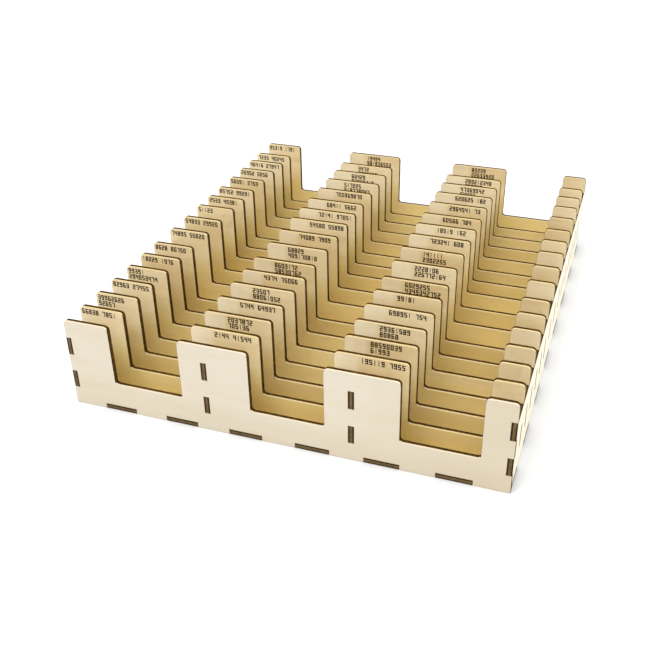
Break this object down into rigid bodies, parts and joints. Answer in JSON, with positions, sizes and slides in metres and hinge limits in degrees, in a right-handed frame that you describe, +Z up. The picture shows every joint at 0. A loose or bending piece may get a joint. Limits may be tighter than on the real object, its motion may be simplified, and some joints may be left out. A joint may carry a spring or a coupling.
{
  "type": "game piece storage tray",
  "caption": "Open laser-cut plywood tray with rows of narrow upright cells in columns, finger notches in every cross panel, and slotted side walls and base.",
  "frame": {"origin": "under the middle of the tray, on the plane it rests on", "axes": "+X to the right across the columns, +Y from the front panel to the back panel, +Z up"},
  "size_m": [0.245, 0.2888, 0.0535],
  "materials": {
    "plywood": "bare, sanded faces with laser-charred cut edges"
  },
  "bodies": {
    "root": {"base_panel": "plywood", "front_panel": "plywood", "back_panel": "plywood", "left_wall": "plywood", "right_wall": "plywood", "left_divider": "plywood", "right_divider": "plywood", "cross_panel_01": "plywood", "cross_panel_02": "plywood", "cross_panel_03": "plywood", "cross_panel_04": "plywood", "cross_panel_05": "plywood", "cross_panel_06": "plywood", "cross_panel_07": "plywood", "cross_panel_08": "plywood", "cross_panel_09": "plywood", "cross_panel_10": "plywood", "cross_panel_11": "plywood", "cross_panel_12": "plywood", "cross_panel_13": "plywood", "cross_panel_14": "plywood", "cross_panel_15": "plywood"}
  },
  "joints": []
}
